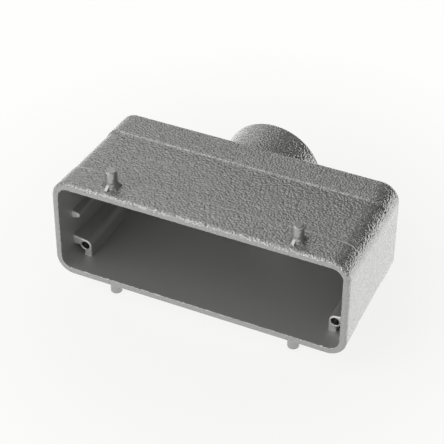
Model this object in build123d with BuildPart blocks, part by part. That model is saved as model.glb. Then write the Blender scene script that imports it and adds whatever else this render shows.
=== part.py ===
"""Die-cast hood of a 24-pole heavy duty rectangular connector, with a straight cable entry at its back.

The hood is one aluminium casting: an open rectangular shell, four cast locking pegs on its long sides,
four tapped columns inside for the contact insert, a rib on each end wall, and a threaded cable entry.

Millimetres. X runs along the hood, Y runs from the mouth to the cable entry, Z is up as the hood lies.
The origin is the centre of the mouth: the flat rim lies in the plane Y = 0 and faces -Y.
"""

import os
from math import radians, tan

from build123d import *

# Shell
rim_length = 120.0  # outside, at the mouth
rim_width = 43.0  # outside, at the mouth
shell_depth = 54.0  # rim to back face
corner_radius = 7.6
end_wall = 2.75
side_wall = 3.15
back_wall = 3.0
end_draft = 1.4  # degrees that each end leans in towards the back
side_draft = 0.7  # degrees that each long side leans in towards the back
rim_outer_round = 1.4
rim_inner_round = 0.4
back_round = 1.5
cavity_floor_round = 2.0

# Shallow panel sunk in each long side, across its whole length
panel_start = 12.1  # rim to the panel's front slope
panel_back_margin = 13.3  # rear slope to the back face
panel_slope_run = 1.2  # length of each slope
panel_sink = 0.5

# Cable entry
thread_diameter = 32.0  # nominal size of the cable gland's thread, which is the plain bore here
entry_wall = 4.5
entry_length = 17.0  # beyond the back face
entry_outer_round = 0.8
entry_lead_in = 0.8

# Locking pegs
peg_diameter = 4.6
peg_height = 7.2  # above the long side
peg_setback = 6.3  # rim to the peg's axis
peg_inset = 22.75  # end of the hood to the peg's axis
peg_round = 0.7
peg_root = 1.2  # how far a peg's root runs into the wall
foot_height = 1.9  # spread foot below the plain pin
foot_spread = 0.4
gusset_reach = 4.0  # from the peg's axis
gusset_height = 1.7  # where a gusset meets the pin's line
gusset_thickness = 1.2
gusset_count = 5
gusset_turn = 45.0  # degrees from X to the first gusset

# Tapped columns for the contact insert
fixing_inset = 8.0  # outside of the rim to the screw's axis, both ways
fixing_setback = 9.3  # rim to the columns' faces
screw_core = 3.3  # tapping drill
screw_mouth = 3.6  # countersunk mouth of the tapped hole
screw_mouth_angle = 90.0  # degrees, of the countersink
screw_depth = 12.0
column_wall = 0.9
web_flare = 1.3  # how much each web spreads on its way to the wall

seat_round = 0.5  # rounded front edges of the columns, webs and ribs

# Rib on each end wall
rib_thickness = 2.4
rib_reach = 3.3  # from the end wall's inner face at the rim
rib_flare = 1.2  # how much each flank spreads on its way to the wall

# Sizes that follow from the ones above
half_length = rim_length / 2
half_width = rim_width / 2
end_lean = tan(radians(end_draft))
side_lean = tan(radians(side_draft))
cavity_depth = shell_depth - back_wall
panel_end = shell_depth - panel_back_margin
sunk_start = panel_start + panel_slope_run
sunk_end = panel_end - panel_slope_run
cavity_corner = corner_radius - side_wall
thread_radius = thread_diameter / 2
entry_radius = thread_radius + entry_wall
entry_end = shell_depth + entry_length
peg_radius = peg_diameter / 2
peg_x = half_length - peg_inset
peg_base = half_width - peg_setback * side_lean
gusset_slope = gusset_height / (gusset_reach - peg_radius)
fixing_x = half_length - fixing_inset
fixing_z = half_width - fixing_inset
column_radius = screw_core / 2 + column_wall
rib_radius = rib_thickness / 2
rib_nose = half_length - end_wall - rib_reach + rib_radius  # centre of the rounded nose


def section(depth, end_inset=0, side_inset=0):
    """Length and width of the drafted shell at a depth, less a wall on each side."""
    length = 2 * (half_length - end_inset - depth * end_lean)
    width = 2 * (half_width - side_inset - depth * side_lean)
    return length, width


def depth_plane(depth):
    """Plane parallel to the rim, facing out of the mouth, with X across and Z up."""
    return Plane.XZ.offset(-depth)


# Core that leaves the cavity: the drafted inside of the shell, grooved where the columns and ribs stand
with BuildPart() as core:
    for depth in (0, cavity_depth):
        with BuildSketch(depth_plane(depth)):
            RectangleRounded(*section(depth, end_wall, side_wall), cavity_corner)
    loft(ruled=True)
    fillet(core.faces().sort_by(Axis.Y)[-1].edges(), cavity_floor_round)

    # A column, a web from it to the end wall and a web to the long wall, in each corner
    with BuildSketch(depth_plane(fixing_setback)):
        with Locations((fixing_x, fixing_z)):
            Circle(column_radius)
        with BuildLine():
            Polyline(
                (fixing_x, fixing_z),
                (fixing_x, fixing_z - column_radius),
                (half_length, fixing_z - column_radius - web_flare),
                (half_length, fixing_z + web_flare),
                close=True,
            )
        make_face()
        with BuildLine():
            Polyline(
                (fixing_x, fixing_z),
                (fixing_x - column_radius, fixing_z),
                (fixing_x - column_radius, half_width),
                (fixing_x + web_flare, half_width),
                close=True,
            )
        make_face()
        mirror(about=Plane.YZ)
        mirror(about=Plane.XZ)
    extrude(amount=-shell_depth, mode=Mode.SUBTRACT)

    # A rib with a rounded nose in the middle of each end wall
    with BuildSketch(depth_plane(fixing_setback)):
        with Locations((rib_nose, 0)):
            Circle(rib_radius)
        with BuildLine():
            Polyline(
                (rib_nose, rib_radius),
                (half_length, rib_radius + rib_flare),
                (half_length, -rib_radius - rib_flare),
                (rib_nose, -rib_radius),
                close=True,
            )
        make_face()
        mirror(about=Plane.YZ)
    extrude(amount=-shell_depth, mode=Mode.SUBTRACT)

# Locking peg, standing on the plane Z = 0, with a star of small gussets at its foot
with BuildPart() as peg:
    with BuildSketch(Plane.XZ):
        with BuildLine():
            Polyline(
                (0, -peg_root),
                (peg_radius + foot_spread, -peg_root),
                (peg_radius + foot_spread, 0),
                (peg_radius, foot_height),
                (peg_radius, peg_height),
                (0, peg_height),
                close=True,
            )
        make_face()
    revolve(axis=Axis.Z)
    fillet(peg.faces().sort_by(Axis.Z)[-1].edges(), peg_round)
    for gusset in range(gusset_count):
        turn = gusset_turn + gusset * 360 / gusset_count
        with BuildSketch(Plane.XZ.rotated((0, 0, turn))):
            with BuildLine():
                Polyline(
                    (0, -peg_root),
                    (gusset_reach, -peg_root),
                    (gusset_reach, 0),
                    (0, gusset_reach * gusset_slope),
                    close=True,
                )
            make_face()
        extrude(amount=gusset_thickness / 2, both=True)

with BuildPart() as hood:
    # Drafted block with rounded corners, narrower between the slopes of its sunk panels
    for depth, sink in (
        (0, 0),
        (panel_start, 0),
        (sunk_start, panel_sink),
        (sunk_end, panel_sink),
        (panel_end, 0),
        (shell_depth, 0),
    ):
        with BuildSketch(depth_plane(depth)):
            RectangleRounded(*section(depth, side_inset=sink), corner_radius)
    loft(ruled=True)
    fillet(hood.faces().sort_by(Axis.Y)[-1].edges(), back_round)
    fillet(hood.faces().sort_by(Axis.Y)[0].edges(), rim_outer_round)

    # Cable entry on the back face
    with BuildSketch(depth_plane(cavity_depth)):
        Circle(entry_radius)
    extrude(amount=-(back_wall + entry_length))
    fillet(hood.faces().sort_by(Axis.Y)[-1].edges(), entry_outer_round)

    # Cavity
    add(core.part, mode=Mode.SUBTRACT)
    rim_edges = hood.faces().filter_by(Axis.Y).sort_by(Axis.Y)[0].inner_wires()[0].edges()
    fillet(rim_edges, rim_inner_round)

    # Front edges of the columns, webs and ribs that stand free of the walls
    seats = hood.faces().filter_by(Axis.Y).group_by(Axis.Y)[1]
    seat_edges = seats.edges().filter_by(
        lambda edge: abs(edge.center().X) < half_length - end_wall - seat_round
        and abs(edge.center().Z) < half_width - side_wall - seat_round
    )
    fillet(seat_edges, seat_round)

    # Bore of the cable entry, with a lead-in for the gland
    with Locations(Plane.XZ.offset(-entry_end).rotated((180, 0, 0))):
        Hole(thread_radius, depth=back_wall + entry_length)
    mouth_edge = hood.edges().filter_by(GeomType.CIRCLE).group_by(Axis.Y)[-1].sort_by(SortBy.RADIUS)[0]
    chamfer(mouth_edge, entry_lead_in)

    # Tapped holes in the columns' faces
    with Locations(depth_plane(fixing_setback)):
        with GridLocations(2 * fixing_x, 2 * fixing_z, 2, 2):
            CounterSinkHole(screw_core / 2, screw_mouth / 2, screw_depth, screw_mouth_angle)

    # Pegs on both long sides
    for x in (-peg_x, peg_x):
        with Locations((x, peg_setback, peg_base), Location((x, peg_setback, -peg_base), (180, 0, 0))):
            add(peg.part)

hood.part.label = "hood"

os.makedirs("parts", exist_ok=True)
export_step(hood.part, "parts/hood.step")
print("hood volume", round(hood.part.volume), "mm3")
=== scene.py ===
# %% [markdown]
# # Hood of a rectangular connector
# A heavy duty connector hides its contacts in a die-cast hood. This one is empty: an open aluminium shell
# under a grained silver-grey coat, with four cast locking pegs, four tapped columns for the contact insert
# and a threaded cable entry at its back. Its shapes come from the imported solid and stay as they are.
# Blender adds what the solid lacks: the finish of the coat, the thread in the cable entry, a white table
# and the light.

# %% Load the hood as a fixed frame
from math import atan2, cos, degrees, pi, radians, sin

import bpy
from mathutils import Matrix, Vector


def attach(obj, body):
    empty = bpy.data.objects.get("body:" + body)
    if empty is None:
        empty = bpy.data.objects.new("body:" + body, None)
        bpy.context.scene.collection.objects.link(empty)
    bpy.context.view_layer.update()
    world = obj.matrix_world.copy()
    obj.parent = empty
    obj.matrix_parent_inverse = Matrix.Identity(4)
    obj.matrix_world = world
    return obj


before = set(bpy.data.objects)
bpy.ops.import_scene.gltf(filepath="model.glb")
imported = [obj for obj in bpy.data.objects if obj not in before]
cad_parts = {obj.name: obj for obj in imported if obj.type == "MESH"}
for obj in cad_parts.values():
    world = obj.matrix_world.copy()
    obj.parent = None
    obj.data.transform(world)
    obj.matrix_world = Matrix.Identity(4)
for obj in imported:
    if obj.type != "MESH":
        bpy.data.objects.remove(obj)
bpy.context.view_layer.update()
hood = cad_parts["hood"]
MM = 0.001
hood_size = [round(side / MM, 1) for side in hood.dimensions]
print("hood loaded:", len(hood.data.polygons), "faces,", hood_size, "mm")

# %% [markdown]
# ## Camera
# The photograph looks down on the hood past its front right corner with a long lens, so edges that are
# parallel on the hood stay almost parallel in the picture. A camera could be pushed about by eye until the
# outlines agree. Here its angles were solved from the corners of the rim, the back and the screw holes,
# whose real sizes are known, and the lens from how much smaller the hood looks at its back. Blender's
# camera looks down its own -Z axis, so it is rolled, tilted up and turned in that order.

# %% Camera at the photograph's angle
camera_aim = Vector((-2.2, 27.4, 1.9)) * MM
camera_distance = 587.0 * MM
camera_turn = radians(25.11)
camera_height = radians(37.31)
camera_roll = radians(0.36)
camera_lens = 125.7  # mm
camera_sensor = 36.0  # mm
nearest_seen = 10 * MM

camera_data = bpy.data.cameras.new("camera")
camera_data.lens = camera_lens
camera_data.sensor_width = camera_sensor
camera_data.clip_start = nearest_seen
camera = bpy.data.objects.new("camera", camera_data)
bpy.context.scene.collection.objects.link(camera)
tilt = Matrix.Rotation(pi / 2 - camera_height, 4, "X")
aimed = Matrix.Rotation(camera_turn, 4, "Z") @ tilt @ Matrix.Rotation(camera_roll, 4, "Z")
drawn_back = Matrix.Translation((0, 0, camera_distance))
camera.matrix_world = Matrix.Translation(camera_aim) @ aimed @ drawn_back
bpy.context.scene.camera = camera
bpy.context.scene.view_settings.view_transform = "Standard"
print("camera at", [round(c / MM, 1) for c in camera.matrix_world.translation], "mm")

# %% [markdown]
# ## Colours and nodes
# A paint chart gives its colours as sRGB hex codes, but a shader works with linear light, so one function
# turns a code into the colour that the shader needs. A second function adds one shader node, gives it its
# settings and links it, so that a material reads from top to bottom. A third starts an empty material.

# %% Helpers for colours and shader nodes
def linear_colour(code):
    """Linear colour of an sRGB hex code such as "#8a8a88"."""
    shares = [int(code[start:start + 2], 16) / 255 for start in (1, 3, 5)]
    return [s / 12.92 if s <= 0.04045 else ((s + 0.055) / 1.055) ** 2.4 for s in shares] + [1.0]


def add_node(tree, kind, inputs=None, **settings):
    """Add a node with its settings. An input is a constant, or another node's socket to link."""
    made = tree.nodes.new(kind)
    for name, value in settings.items():
        setattr(made, name, value)
    for name, value in (inputs or {}).items():
        if isinstance(value, bpy.types.NodeSocket):
            tree.links.new(value, made.inputs[name])
        else:
            made.inputs[name].default_value = value
    return made.outputs


def new_material(name):
    """Empty node material, with its tree."""
    material = bpy.data.materials.new(name)
    material.use_nodes = True
    material.node_tree.nodes.clear()
    return material, material.node_tree


# %% [markdown]
# ## Cut aluminium
# The threads are cut after the coat has been baked, so they show the bare casting alloy. It is a metal, so
# its metallic share is 1 and its index stays at the default. Casting alloy holds much silicon, which makes
# it greyer than pure aluminium, and the tap leaves it a little dull: a roughness of 0.3. The eye sees
# bright and dark bands that follow the turns. The same values serve the thread of the cable entry and the
# tapped holes.

# %% Cut aluminium
bare_metal = {"Base Color": linear_colour("#bdbdba"), "Metallic": 1.0, "Roughness": 0.3}

cut_aluminium, tree = new_material("cut_aluminium")
shader = add_node(tree, "ShaderNodeBsdfPrincipled", bare_metal)["BSDF"]
add_node(tree, "ShaderNodeOutputMaterial", {"Surface": shader})
print("made", cut_aluminium.name)

# %% [markdown]
# ## Silver-grey powder coat
# The hood is powder coated: a dry polyester powder with some aluminium flake is sprayed on and baked until
# it flows. The eye sees a neutral grey that is dull where it mirrors the dark room and turns almost white
# where it mirrors the table. Outside, the coat bakes to a grain of fine wrinkles; inside it is thin and
# even. Each face could be given a material of its own, but the coat is one layer, so it is one material
# here, and the place of a point on the hood tells which finish it has. Places are read in millimetres in
# the hood's own axes. The hood is alike on both sides of its middle planes, so one quarter of it is enough.

# %% Places on the hood, in mm
coat, tree = new_material("silver_grey_powder_coat")
place = add_node(tree, "ShaderNodeTexCoord")["Object"]
place = add_node(tree, "ShaderNodeVectorMath", {0: place, "Scale": 1 / MM}, operation="SCALE")[0]
depth = add_node(tree, "ShaderNodeSeparateXYZ", {0: place})["Y"]
quarter = add_node(tree, "ShaderNodeVectorMath", {0: place}, operation="ABSOLUTE")[0]
height = add_node(tree, "ShaderNodeSeparateXYZ", {0: quarter})["Z"]

# %% [markdown]
# A point lies outside the shell where it is beyond the middle of the walls. That middle is a rectangle with
# rounded corners that leans in towards the back, as the walls do. So a point is first taken forward to the
# rim, and then its distance past the straight sides is compared with the radius of the corners. Depth plays
# no part in that distance, so its limit is set beyond any point of the hood. The rim and everything behind
# the back wall count as outside too.

# %% Grain outside, smooth inside
wall_middle = Vector((58.6, 0, 19.7))  # mm, halfway through the walls at the rim
wall_corner = 6.0  # mm, radius of the corners there
wall_lean = Vector((0.0245, 0, 0.0122))  # how much the walls lean in per mm of depth
back_middle = 52.5  # mm, halfway through the back wall
rim_depth = 0.3  # mm behind the rim that the grain still reaches on the inside
beyond_depth = 1000  # mm

forward = {0: depth, 1: wall_lean, 2: quarter}
forward = add_node(tree, "ShaderNodeVectorMath", forward, operation="MULTIPLY_ADD")[0]
straight = Vector((wall_middle.x - wall_corner, beyond_depth, wall_middle.z - wall_corner))
apart = add_node(tree, "ShaderNodeVectorMath", {0: forward, 1: straight}, operation="SUBTRACT")[0]
apart = add_node(tree, "ShaderNodeVectorMath", {0: apart, 1: (0, 0, 0)}, operation="MAXIMUM")[0]
apart = add_node(tree, "ShaderNodeVectorMath", {0: apart}, operation="LENGTH")["Value"]
outside = add_node(tree, "ShaderNodeMath", {0: apart, 1: wall_corner}, operation="GREATER_THAN")[0]
behind = add_node(tree, "ShaderNodeMath", {0: depth, 1: back_middle}, operation="GREATER_THAN")[0]
outside = add_node(tree, "ShaderNodeMath", {0: outside, 1: behind}, operation="MAXIMUM")[0]
on_rim = add_node(tree, "ShaderNodeMath", {0: depth, 1: rim_depth}, operation="LESS_THAN")[0]
outside = add_node(tree, "ShaderNodeMath", {0: outside, 1: on_rim}, operation="MAXIMUM")[0]

# %% [markdown]
# Molten powder draws back from small and sharp forms, so the wrinkles are lower there. That is the case on
# the pegs, which stand out past the long sides.

# %% Lower grain on the pegs
peg_start = (21.5, 21.9)  # mm from the middle plane, from the long side into a peg
peg_grain = 0.3  # share of the full height

on_peg = {"Value": height, "From Min": peg_start[0], "From Max": peg_start[1]}
on_peg |= {"To Min": 1.0, "To Max": peg_grain}
on_peg = add_node(tree, "ShaderNodeMapRange", on_peg)[0]
grained = add_node(tree, "ShaderNodeMath", {0: outside, 1: on_peg}, operation="MULTIPLY")[0]

# %% [markdown]
# The grain itself is a smooth noise, raised by a bump. Its bumps stand about three quarters of a millimetre
# apart. Finer octaves are left out: they would be smaller than what the photograph shows and would only
# dull the coat. Polyester resin has the shader's usual index of 1.5. A metallic share of 0.65 stands for
# the flake, and a roughness of 0.22 gives each wrinkle a lit flank and a dark one. The thin coat inside is
# dull, with a roughness of 0.6, so the light fades evenly towards the back of the cavity.

# %% Coat with its grain
wrinkle_spacing = 0.75  # mm
wrinkle_height = 0.38  # mm for the whole range of the noise, of which the bumps use about a third
outside_roughness = 0.22
inside_roughness = 0.6

grain = {"Vector": place, "Scale": 1 / wrinkle_spacing, "Detail": 0.0}
grain = add_node(tree, "ShaderNodeTexNoise", grain)[0]
wrinkles = {"Height": grain, "Strength": grained, "Distance": wrinkle_height * MM}
wrinkles = add_node(tree, "ShaderNodeBump", wrinkles)["Normal"]
dullness = {"Value": outside, "To Min": inside_roughness, "To Max": outside_roughness}
dullness = add_node(tree, "ShaderNodeMapRange", dullness)[0]
coated = {"Base Color": linear_colour("#adadab"), "Metallic": 0.65}
coated |= {"Roughness": dullness, "Normal": wrinkles}
coated = add_node(tree, "ShaderNodeBsdfPrincipled", coated)["BSDF"]
print("wrinkles", wrinkle_spacing, "mm apart and", wrinkle_height, "mm high")

# %% [markdown]
# ## Milled seats, lightened by painted highlight
# The insert is screwed against the front faces of the columns and ribs, so these are milled to one depth
# after coating. Milled casting alloy is clean and light, and the marks of the cutter make it satin: a metal
# with a roughness of 0.5. Its light colour here is partly painted highlight: the lamps leave these faces
# darker than the rim, and the colour lifts them, so the eye sees them stand out as light as the rim in the
# dark cavity. They are found by their depth and by facing the mouth, with the rounded edges that the cutter
# also touches.

# %% Milled faces of the columns and ribs, with painted highlight
seat_depth = 9.55  # mm, middle of the band that holds the faces and their rounded edges
seat_half = 0.35  # mm
seat_facing = -0.3  # part of the normal that points to the mouth

facing = add_node(tree, "ShaderNodeNewGeometry")["True Normal"]
facing = add_node(tree, "ShaderNodeSeparateXYZ", {0: facing})["Y"]
facing = add_node(tree, "ShaderNodeMath", {0: facing, 1: seat_facing}, operation="LESS_THAN")[0]
seat = add_node(tree, "ShaderNodeMath", {0: depth, 1: seat_depth, 2: seat_half}, operation="COMPARE")[0]
seat = add_node(tree, "ShaderNodeMath", {0: seat, 1: facing}, operation="MULTIPLY")[0]
seat = add_node(tree, "ShaderNodeMath", {0: seat, 1: outside}, operation="GREATER_THAN")[0]
# Light milled metal, partly a painted highlight that brightens the seats to the rim's level
milled_and_highlight = {"Base Color": linear_colour("#dededc"), "Metallic": 1.0, "Roughness": 0.5}
milled_and_highlight = add_node(tree, "ShaderNodeBsdfPrincipled", milled_and_highlight)["BSDF"]

# %% [markdown]
# ## Painted highlight on the slopes
# Each long side has a shallow panel, sunk between two short slopes. The fine light line along each slope is
# a painted highlight: the light metal colour of the seats is put where the edge of the slope catches the
# light. It could be a groove or a ridge, but it stands no higher than the grain, so it is painted instead.
# On the rear slope it shows only where the grain is high, which makes the line dotted. The front slope turns
# away from the camera and is seen almost edge on, so its line takes up the slope and still looks fine.

# %% Painted highlight line along the slopes
rear_line = 40.1  # mm of depth
rear_half = 0.15  # mm, half the width of the line
front_line = 12.7  # mm of depth
front_half = 0.5  # mm
line_height = 0.5  # share of the noise above which the painted highlight shows

rear = add_node(tree, "ShaderNodeMath", {0: depth, 1: rear_line, 2: rear_half}, operation="COMPARE")[0]
raised = add_node(tree, "ShaderNodeMath", {0: grain, 1: line_height}, operation="GREATER_THAN")[0]
rear = add_node(tree, "ShaderNodeMath", {0: rear, 1: raised}, operation="MULTIPLY")[0]
front = add_node(tree, "ShaderNodeMath", {0: depth, 1: front_line, 2: front_half}, operation="COMPARE")[0]
line = add_node(tree, "ShaderNodeMath", {0: rear, 1: front}, operation="MAXIMUM")[0]
long_side = add_node(tree, "ShaderNodeMath", {0: height, 1: wall_middle.z}, operation="GREATER_THAN")[0]
line = add_node(tree, "ShaderNodeMath", {0: line, 1: long_side}, operation="MULTIPLY")[0]
# The seats and the slope lines take the light metal: painted highlight on the lines, partly so on the seats
seats_and_painted_highlights = add_node(tree, "ShaderNodeMath", {0: seat, 1: line}, operation="MAXIMUM")[0]

# %% [markdown]
# ## Bare threads
# The tapped holes and the bore of the cable entry are bare. The bore gets a modelled thread below. In the
# tapped holes the thread is too small to model, so it is drawn as rings 0.7 mm apart, the pitch of an M4
# screw. Each hole is told by the distance from its axis, and by its depth, because the same line also meets
# the back of the hood.

# %% Bare tapped holes and bore
hole_axis = Vector((52.0, 0, 13.5))  # mm
hole_radius = 1.85  # mm, with its countersunk mouth
hole_end = 25.0  # mm of depth, past the bottom of the holes
hole_pitch = 0.7  # mm
ring_height = 0.25 * MM  # for each mm that the wave of the rings rises
bore_radius = 16.9  # mm, with the lead-in of the thread
bore_start = 50.9  # mm of depth, at the inner face of the back wall
across = Vector((1, 0, 1))

from_hole = add_node(tree, "ShaderNodeVectorMath", {0: quarter, 1: hole_axis}, operation="SUBTRACT")[0]
from_hole = add_node(tree, "ShaderNodeVectorMath", {0: from_hole, 1: across}, operation="MULTIPLY")[0]
from_hole = add_node(tree, "ShaderNodeVectorMath", {0: from_hole}, operation="LENGTH")["Value"]
in_hole = add_node(tree, "ShaderNodeMath", {0: from_hole, 1: hole_radius}, operation="LESS_THAN")[0]
in_column = add_node(tree, "ShaderNodeMath", {0: depth, 1: hole_end}, operation="LESS_THAN")[0]
in_hole = add_node(tree, "ShaderNodeMath", {0: in_hole, 1: in_column}, operation="MULTIPLY")[0]
from_axis = add_node(tree, "ShaderNodeVectorMath", {0: place, 1: across}, operation="MULTIPLY")[0]
from_axis = add_node(tree, "ShaderNodeVectorMath", {0: from_axis}, operation="LENGTH")["Value"]
in_bore = add_node(tree, "ShaderNodeMath", {0: from_axis, 1: bore_radius}, operation="LESS_THAN")[0]
in_entry = add_node(tree, "ShaderNodeMath", {0: depth, 1: bore_start}, operation="GREATER_THAN")[0]
in_bore = add_node(tree, "ShaderNodeMath", {0: in_bore, 1: in_entry}, operation="MULTIPLY")[0]
bare = add_node(tree, "ShaderNodeMath", {0: in_hole, 1: in_bore}, operation="MAXIMUM")[0]

turns = add_node(tree, "ShaderNodeMath", {0: depth, 1: hole_pitch / 2}, operation="PINGPONG")[0]
rings = {"Height": turns, "Strength": in_hole, "Distance": ring_height}
rings = add_node(tree, "ShaderNodeBump", rings)["Normal"]
threads = add_node(tree, "ShaderNodeBsdfPrincipled", bare_metal | {"Normal": rings})["BSDF"]

# %% [markdown]
# The finishes are put together in the order in which they are made: first the coat, then the milled seats
# and the painted highlight lines, then the threads.

# %% Put the finishes together
finish = add_node(tree, "ShaderNodeMixShader", {0: seats_and_painted_highlights, 1: coated, 2: milled_and_highlight})[0]
finish = add_node(tree, "ShaderNodeMixShader", {0: bare, 1: finish, 2: threads})[0]
add_node(tree, "ShaderNodeOutputMaterial", {"Surface": finish})
hood.data.materials.clear()
hood.data.materials.append(coat)
print("coat made of", len(tree.nodes), "nodes")

# %% [markdown]
# ## Thread of the cable entry
# The cable gland screws into a 32 mm thread with a pitch of 1.5 mm. The bore is plain in the solid, so its
# ridge is added. It could be a bump on the bore, but it is large enough to show its outline against the
# light, so it is modelled: a strip with a flat crest and two flanks at 60 degrees to each other, wound up
# the bore. It rises from nothing over the first half turn and sinks back over the last one, as a tap leaves
# it, and its foot is let a little into the wall so that no gap shows.

# %% Wind the ridge up the bore
thread_radius = 16.0  # mm, of the plain bore
thread_pitch = 1.5  # mm
thread_height = 0.81  # mm
thread_crest = 0.38  # mm, width of the flat crest
thread_root = 1.31  # mm, width where the ridge leaves the bore
thread_span = (51.9, 69.3)  # mm of depth, middle of the first and last turn
thread_sink = 0.05  # mm
steps_per_turn = 96

turn_count = (thread_span[1] - thread_span[0]) / thread_pitch
step_count = int(turn_count * steps_per_turn)
foot = thread_radius + thread_sink
points = []
for step in range(step_count + 1):
    turned = step / steps_per_turn
    angle = 2 * pi * turned
    middle = thread_span[0] + turned * thread_pitch
    rise = min(1, 2 * turned, 2 * (turn_count - turned))
    crest = thread_radius - thread_height * rise
    near_half = [(foot, -thread_root), (crest, -thread_crest)]
    far_half = [(crest, thread_crest), (foot, thread_root)]
    for radius, width in near_half + far_half:
        points.append(Vector((radius * cos(angle), middle + width / 2, radius * sin(angle))) * MM)
strips = [
    (4 * step + edge, 4 * step + edge + 1, 4 * step + edge + 5, 4 * step + edge + 4)
    for step in range(step_count)
    for edge in range(3)
]
thread_mesh = bpy.data.meshes.new("entry_thread")
thread_mesh.from_pydata(points, [], strips)
thread_mesh.materials.append(cut_aluminium)
thread = bpy.data.objects.new("entry_thread", thread_mesh)
bpy.context.scene.collection.objects.link(thread)
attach(thread, "root")
print("thread of", round(turn_count, 1), "turns,", len(strips), "faces")

# %% [markdown]
# ## White table
# The hood lies on the tips of its two lower pegs and on the end of its cable entry, so it leans forward. In
# the hood's own axes it is the table that slopes: a plane through the lowest points of the rounded pegs and
# of the rounded entry. It is wide enough that its edge stays out of the picture.

# %% Table under the hood
peg_low = Vector((0, 8.0, -28.61)) * MM
entry_low = Vector((0, 70.3, -20.49)) * MM
table_slope = atan2(entry_low.z - peg_low.z, entry_low.y - peg_low.y)
table_half = 30.0  # metres

table_mesh = bpy.data.meshes.new("table")
corners = [(x * table_half, y * table_half, 0) for x, y in ((-1, -1), (1, -1), (1, 1), (-1, 1))]
table_mesh.from_pydata(corners, [], [(0, 1, 2, 3)])
table = bpy.data.objects.new("table", table_mesh)
bpy.context.scene.collection.objects.link(table)
table.matrix_world = Matrix.Translation(peg_low) @ Matrix.Rotation(table_slope, 4, "X")
print("table slopes", round(degrees(table_slope), 2), "degrees")

# %% [markdown]
# The photograph's table is a sheet of white paper, a shade darker around the hood and pure white farther
# off. More lamps would make it white, but they would bleach the hood as well. So the paper is dull and
# white for the light that falls on it, and the camera, and the hood as a mirror, see it mixed with an even
# white. The share of that white grows with the distance from the hood, and the rest keeps the hood's shadow.
# The eye sees a soft grey shadow that fades into white.

# %% White paper
white_share = (0.84, 1.0)  # near the hood and far from it
white_reach = (60 * MM, 150 * MM)  # distances from the middle of the hood for those shares
hood_middle = (0, 20 * MM, 0)  # in the table's axes

paper, tree = new_material("white_paper")
rays = add_node(tree, "ShaderNodeLightPath")
seen = {0: rays["Is Camera Ray"], 1: rays["Is Glossy Ray"]}
seen = add_node(tree, "ShaderNodeMath", seen, operation="MAXIMUM")[0]
seen = {0: seen, 1: rays["Is Transmission Ray"]}
seen = add_node(tree, "ShaderNodeMath", seen, operation="MAXIMUM")[0]
far = add_node(tree, "ShaderNodeTexCoord")["Object"]
far = add_node(tree, "ShaderNodeVectorMath", {0: far, 1: hood_middle}, operation="DISTANCE")["Value"]
share = {"Value": far, "From Min": white_reach[0], "From Max": white_reach[1]}
share |= {"To Min": white_share[0], "To Max": white_share[1]}
share = add_node(tree, "ShaderNodeMapRange", share)[0]
share = add_node(tree, "ShaderNodeMath", {0: share, 1: seen}, operation="MULTIPLY")[0]
lit = add_node(tree, "ShaderNodeBsdfDiffuse", {"Color": linear_colour("#f4f4f3")})[0]
white = add_node(tree, "ShaderNodeEmission", {"Color": linear_colour("#fefefd"), "Strength": 1.0})[0]
both = add_node(tree, "ShaderNodeMixShader", {0: share, 1: lit, 2: white})[0]
add_node(tree, "ShaderNodeOutputMaterial", {"Surface": both})
table_mesh.materials.append(paper)
print("paper turns fully white", white_reach[1] / MM, "mm from the hood's middle")

# %% [markdown]
# ## Light
# A product studio lights such a part with soft boxes around it and keeps the room dark. Where each box
# stands shows in the coat, which half mirrors it. The rim and the inside tell that most light comes from the
# front left, with a low box in front. The grain on top has its lit flanks on the left, so the light behind
# comes mostly from the left. The thin line on the rear slope mirrors a box overhead. A lamp is placed by its
# turn from +X, its height above the horizon and a common distance, and it faces the middle of the hood.

# %% Soft boxes
lamp_target = Vector((0, 27, 0)) * MM
lamp_distance = 0.7  # metres


def soft_box(name, turn, rise, size, power):
    """Rectangular lamp at a turn and a rise in degrees, with its size in metres and its power in watts."""
    data = bpy.data.lights.new(name, "AREA")
    data.shape = "RECTANGLE"
    data.size, data.size_y = size
    data.energy = power
    lamp = bpy.data.objects.new(name, data)
    bpy.context.scene.collection.objects.link(lamp)
    level = cos(radians(rise))
    away = Vector((level * cos(radians(turn)), level * sin(radians(turn)), sin(radians(rise))))
    lamp.location = lamp_target + away * lamp_distance
    lamp.rotation_euler = away.to_track_quat("Z", "Y").to_euler()
    print("soft box", name, "of", power, "W")


soft_box("front_left", -135, 35, (0.6, 0.6), 2.12)
soft_box("front_right", -45, 40, (0.7, 0.7), 0.7)
soft_box("front_low", -90, 11, (0.8, 0.25), 1.5)
soft_box("overhead", 165, 76, (0.7, 0.7), 0.75)
soft_box("left_back", 140, 40, (0.55, 0.55), 0.66)
soft_box("back", 90, 45, (0.7, 0.5), 0.25)

# %% [markdown]
# The paper behind the hood is lit best and sends light back up, which whitens the right end, the left edges
# and the side of the cable entry. A lamp that lies on the paper there stands for it, at about half the
# brightness of white. The camera doesn't see it. The dark room gives only a trace of light from elsewhere.

# %% Light from the paper, and the dark room
glow_size = (0.76, 0.8)  # metres
glow_middle = (0.22, 0.4, 0.1 * MM)  # in the table's axes, just above it
glow_brightness = 0.56  # where white is 1
room_brightness = 0.02

glow_data = bpy.data.lights.new("paper_glow", "AREA")
glow_data.shape = "RECTANGLE"
glow_data.size, glow_data.size_y = glow_size
glow_data.energy = glow_brightness * pi * glow_size[0] * glow_size[1]
glow = bpy.data.objects.new("paper_glow", glow_data)
bpy.context.scene.collection.objects.link(glow)
glow.matrix_world = table.matrix_world @ Matrix.Translation(glow_middle) @ Matrix.Rotation(pi, 4, "X")
glow.visible_camera = False

room = bpy.data.worlds.new("dark_room")
room.use_nodes = True
background = room.node_tree.nodes["Background"]
background.inputs["Color"].default_value = linear_colour("#ffffff")
background.inputs["Strength"].default_value = room_brightness
bpy.context.scene.world = room
print("light from the paper:", round(glow_data.energy, 2), "W")
